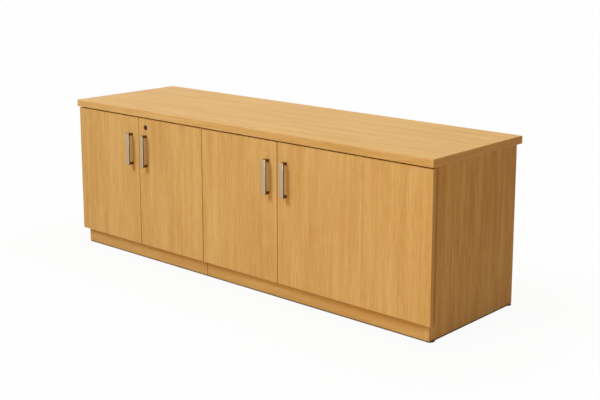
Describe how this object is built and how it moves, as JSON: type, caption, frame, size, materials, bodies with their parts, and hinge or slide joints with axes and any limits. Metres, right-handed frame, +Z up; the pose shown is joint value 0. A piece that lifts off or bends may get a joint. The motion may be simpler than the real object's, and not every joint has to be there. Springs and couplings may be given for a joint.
{
  "type": "office credenza",
  "caption": "Low office credenza in light oak laminate: slab top, hinged overlay doors with bar handles, a cam lock, shelves and a recessed plinth.",
  "frame": {"origin": "on the floor under the middle of the box that holds the whole credenza, handles included", "axes": "+X along the length to the right as seen from the front, +Y from the doors to the back, +Z up"},
  "size_m": [1.8, 0.549, 0.612],
  "materials": {
    "oak_laminate": "satin oak-effect laminate",
    "oak_top": "satin oak-effect laminate",
    "satin_nickel": "satin",
    "post_nickel": "satin",
    "lock_nickel": "satin",
    "dark_plug": "satin",
    "hinge_steel": "nickel plated",
    "zinc_steel": "zinc plated",
    "cast_zinc": "bare casting",
    "black_plastic": "moulded",
    "clear_plastic": "soft"
  },
  "bodies": {
    "carcass": {"cam_bolts": "zinc_steel", "cam_fittings": "cast_zinc", "centre_partition": "oak_laminate", "door_bumpers": "clear_plastic", "glides": "black_plastic", "hinge_arms": "hinge_steel", "hinge_plates": "hinge_steel", "hinge_screws": "zinc_steel", "left_back_panel": "oak_laminate", "left_bottom_panel": "oak_laminate", "left_plinth_board": "oak_laminate", "left_shelf": "oak_laminate", "left_side_panel": "oak_laminate", "lock_strike": "hinge_steel", "rear_plinth_boards": "oak_laminate", "right_back_panel": "oak_laminate", "right_bottom_panel": "oak_laminate", "right_plinth_board": "oak_laminate", "right_shelf": "oak_laminate", "right_side_panel": "oak_laminate", "shelf_pins": "zinc_steel", "strike_screws": "zinc_steel", "top_slab": "oak_top"},
    "door_1": {"door_1_cup_screws": "zinc_steel", "door_1_handle_bar": "satin_nickel", "door_1_handle_posts": "post_nickel", "door_1_handle_screws": "zinc_steel", "door_1_hinge_cups": "hinge_steel", "door_1_panel": "oak_laminate"},
    "door_1_front_link": {"door_1_front_links": "hinge_steel"},
    "door_1_rear_link": {"door_1_rear_links": "hinge_steel"},
    "door_2": {"door_2_cup_screws": "zinc_steel", "door_2_handle_bar": "satin_nickel", "door_2_handle_posts": "post_nickel", "door_2_handle_screws": "zinc_steel", "door_2_hinge_cups": "hinge_steel", "door_2_panel": "oak_laminate", "lock_housing": "lock_nickel", "lock_nut": "lock_nickel"},
    "door_2_front_link": {"door_2_front_links": "hinge_steel"},
    "door_2_rear_link": {"door_2_rear_links": "hinge_steel"},
    "door_3": {"door_3_cup_screws": "zinc_steel", "door_3_handle_bar": "satin_nickel", "door_3_handle_posts": "post_nickel", "door_3_handle_screws": "zinc_steel", "door_3_hinge_cups": "hinge_steel", "door_3_panel": "oak_laminate"},
    "door_3_front_link": {"door_3_front_links": "hinge_steel"},
    "door_3_rear_link": {"door_3_rear_links": "hinge_steel"},
    "door_4": {"door_4_cup_screws": "zinc_steel", "door_4_handle_bar": "satin_nickel", "door_4_handle_posts": "post_nickel", "door_4_handle_screws": "zinc_steel", "door_4_hinge_cups": "hinge_steel", "door_4_panel": "oak_laminate"},
    "door_4_front_link": {"door_4_front_links": "hinge_steel"},
    "door_4_rear_link": {"door_4_rear_links": "hinge_steel"},
    "lock": {"lock_plug": "dark_plug", "lock_cam": "lock_nickel"}
  },
  "joints": [
    {"name": "door_1_swing", "type": "hinge", "parent": "carcass", "child": "door_1", "pos_m": [-0.8875, -0.2485, 0.3205], "axis": [0, 0, -1], "range_deg": [0, 105]},
    {"name": "door_1_front_link_turn", "type": "hinge", "parent": "carcass", "child": "door_1_front_link", "pos_m": [-0.8555, -0.2265, 0.3205], "axis": [0, 0, -1], "range_deg": [0, 105]},
    {"name": "door_1_rear_link_turn", "type": "hinge", "parent": "door_1", "child": "door_1_rear_link", "pos_m": [-0.8605, -0.236, 0.3205], "axis": [0, 0, -1], "range_deg": [-105, 0]},
    {"name": "door_2_swing", "type": "hinge", "parent": "carcass", "child": "door_2", "pos_m": [-0.161, -0.2485, 0.3205], "axis": [0, 0, 1], "range_deg": [0, 85]},
    {"name": "door_2_front_link_turn", "type": "hinge", "parent": "carcass", "child": "door_2_front_link", "pos_m": [-0.193, -0.2265, 0.3205], "axis": [0, 0, 1], "range_deg": [0, 85]},
    {"name": "door_2_rear_link_turn", "type": "hinge", "parent": "door_2", "child": "door_2_rear_link", "pos_m": [-0.188, -0.236, 0.3205], "axis": [0, 0, 1], "range_deg": [-85, 0]},
    {"name": "door_3_swing", "type": "hinge", "parent": "carcass", "child": "door_3", "pos_m": [-0.152, -0.2485, 0.3205], "axis": [0, 0, -1], "range_deg": [0, 85]},
    {"name": "door_3_front_link_turn", "type": "hinge", "parent": "carcass", "child": "door_3_front_link", "pos_m": [-0.12, -0.2265, 0.3205], "axis": [0, 0, -1], "range_deg": [0, 85]},
    {"name": "door_3_rear_link_turn", "type": "hinge", "parent": "door_3", "child": "door_3_rear_link", "pos_m": [-0.125, -0.236, 0.3205], "axis": [0, 0, -1], "range_deg": [-85, 0]},
    {"name": "door_4_swing", "type": "hinge", "parent": "carcass", "child": "door_4", "pos_m": [0.8875, -0.2485, 0.3205], "axis": [0, 0, 1], "range_deg": [0, 105]},
    {"name": "door_4_front_link_turn", "type": "hinge", "parent": "carcass", "child": "door_4_front_link", "pos_m": [0.8555, -0.2265, 0.3205], "axis": [0, 0, 1], "range_deg": [0, 105]},
    {"name": "door_4_rear_link_turn", "type": "hinge", "parent": "door_4", "child": "door_4_rear_link", "pos_m": [0.8605, -0.236, 0.3205], "axis": [0, 0, 1], "range_deg": [-105, 0]},
    {"name": "lock_turn", "type": "hinge", "parent": "door_2", "child": "lock", "pos_m": [-0.476, -0.2485, 0.543], "axis": [0, -1, 0], "range_deg": [0, 90]}
  ],
  "couplings": [
    {"joint": "door_1_front_link_turn", "follows": "door_1_swing", "ratio": 1},
    {"joint": "door_1_rear_link_turn", "follows": "door_1_swing", "ratio": -1},
    {"joint": "door_2_front_link_turn", "follows": "door_2_swing", "ratio": 1},
    {"joint": "door_2_rear_link_turn", "follows": "door_2_swing", "ratio": -1},
    {"joint": "door_3_front_link_turn", "follows": "door_3_swing", "ratio": 1},
    {"joint": "door_3_rear_link_turn", "follows": "door_3_swing", "ratio": -1},
    {"joint": "door_4_front_link_turn", "follows": "door_4_swing", "ratio": 1},
    {"joint": "door_4_rear_link_turn", "follows": "door_4_swing", "ratio": -1}
  ]
}
